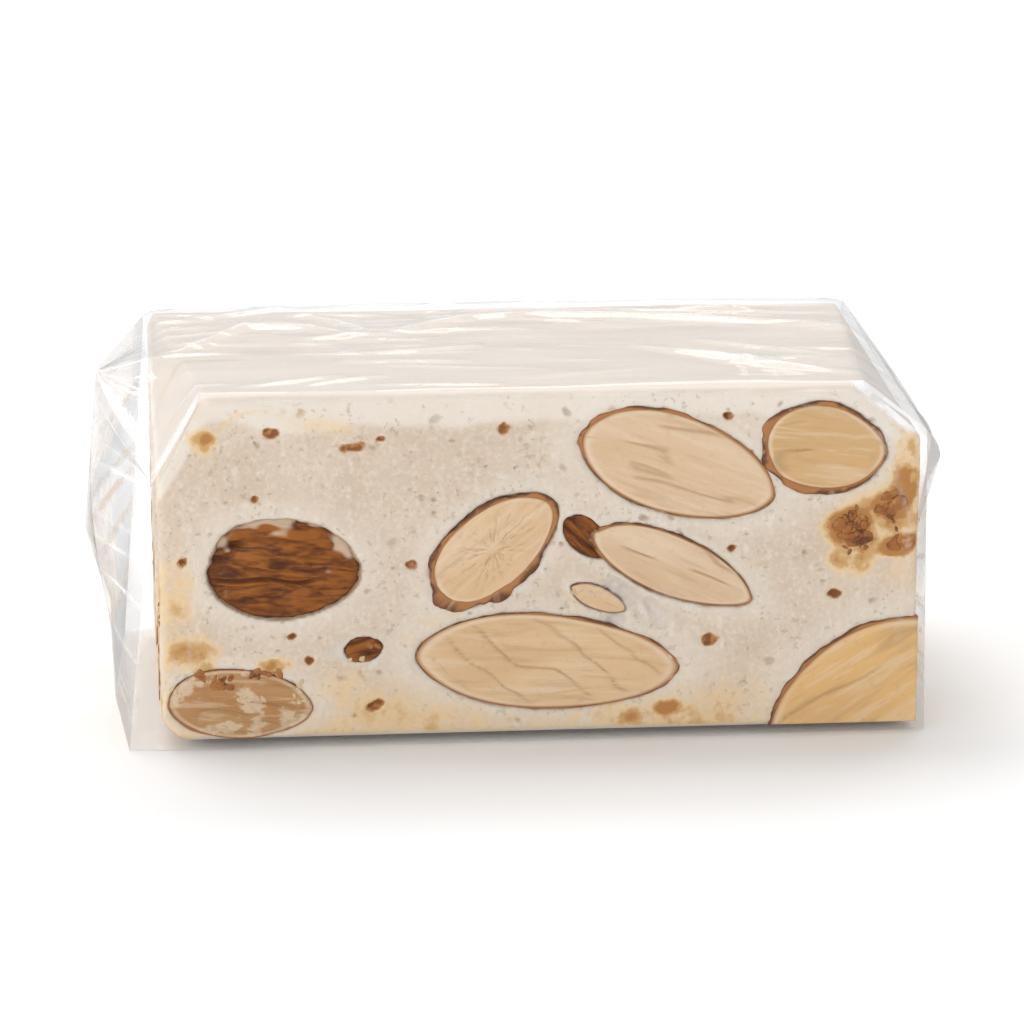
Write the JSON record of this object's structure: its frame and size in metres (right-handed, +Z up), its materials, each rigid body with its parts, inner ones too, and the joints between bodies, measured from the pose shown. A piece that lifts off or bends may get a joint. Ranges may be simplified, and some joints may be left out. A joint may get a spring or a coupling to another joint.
{
  "type": "nougat bar",
  "caption": "Thick block of pale almond nougat sealed in clear crinkled film that is gathered to a fin at each end.",
  "frame": {"origin": "on the resting surface, under the middle of the wrapped bar's box", "axes": "+X along the bar, -Y out of the front cut face, +Z up"},
  "size_m": [0.0774, 0.0444, 0.0323],
  "materials": {
    "wrapped_nougat": "off-white nougat seen through clear glossy film",
    "film": "thin clear crinkled wrapping film, glossy",
    "nougat": "off-white aerated nougat, cut faces with fine pores, pressed faces smooth",
    "almond": "cut almond flesh, beige with fine grain and cracks",
    "almond_skin": "brown wrinkled almond skin, satin"
  },
  "bodies": {
    "root": {"wrapped_bar": "wrapped_nougat"}
  },
  "joints": []
}
